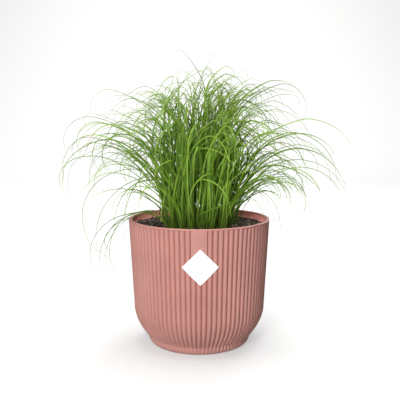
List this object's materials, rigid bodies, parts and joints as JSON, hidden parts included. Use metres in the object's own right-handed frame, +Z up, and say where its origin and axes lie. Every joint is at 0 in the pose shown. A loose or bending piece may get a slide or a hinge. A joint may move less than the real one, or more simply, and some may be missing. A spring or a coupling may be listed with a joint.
{
  "type": "potted plant",
  "caption": "Clump of umbrella sedge with long, narrow arching leaf blades, in a ribbed, tapered plastic pot filled with soil.",
  "frame": {"origin": "centre of the pot's flat underside", "axes": "+Z up along the pot's axis, -Y towards the front with the smooth panel and the sticker, +X to the viewer's right"},
  "size_m": [0.3943, 0.3162, 0.3822],
  "materials": {
    "pot_plastic": "satin, upright ribs",
    "sticker_paper": "matte, blank",
    "potting_soil": "rough, crumbly",
    "sedge_leaf": "satin, fine lengthwise veins"
  },
  "bodies": {
    "root": {"pot": "pot_plastic", "label": "sticker_paper", "soil": "potting_soil", "shoot_01": "sedge_leaf", "shoot_02": "sedge_leaf", "shoot_03": "sedge_leaf", "shoot_04": "sedge_leaf", "shoot_05": "sedge_leaf", "shoot_06": "sedge_leaf", "shoot_07": "sedge_leaf", "shoot_08": "sedge_leaf", "shoot_09": "sedge_leaf", "shoot_10": "sedge_leaf", "shoot_11": "sedge_leaf", "shoot_12": "sedge_leaf", "shoot_13": "sedge_leaf", "shoot_14": "sedge_leaf", "shoot_15": "sedge_leaf", "shoot_16": "sedge_leaf", "shoot_17": "sedge_leaf", "shoot_18": "sedge_leaf", "shoot_19": "sedge_leaf", "shoot_20": "sedge_leaf", "shoot_21": "sedge_leaf", "shoot_22": "sedge_leaf", "shoot_23": "sedge_leaf", "shoot_24": "sedge_leaf", "shoot_25": "sedge_leaf", "shoot_26": "sedge_leaf", "shoot_27": "sedge_leaf", "shoot_28": "sedge_leaf", "shoot_29": "sedge_leaf", "shoot_30": "sedge_leaf", "shoot_31": "sedge_leaf", "shoot_32": "sedge_leaf", "shoot_33": "sedge_leaf", "shoot_34": "sedge_leaf", "shoot_35": "sedge_leaf", "shoot_36": "sedge_leaf", "shoot_37": "sedge_leaf", "shoot_38": "sedge_leaf", "shoot_39": "sedge_leaf", "shoot_40": "sedge_leaf", "shoot_41": "sedge_leaf", "shoot_42": "sedge_leaf", "shoot_43": "sedge_leaf", "shoot_44": "sedge_leaf", "shoot_45": "sedge_leaf", "shoot_46": "sedge_leaf", "shoot_47": "sedge_leaf", "shoot_48": "sedge_leaf", "shoot_49": "sedge_leaf", "shoot_50": "sedge_leaf", "shoot_51": "sedge_leaf", "shoot_52": "sedge_leaf", "shoot_53": "sedge_leaf", "shoot_54": "sedge_leaf", "shoot_55": "sedge_leaf", "shoot_56": "sedge_leaf", "shoot_57": "sedge_leaf"}
  },
  "joints": []
}
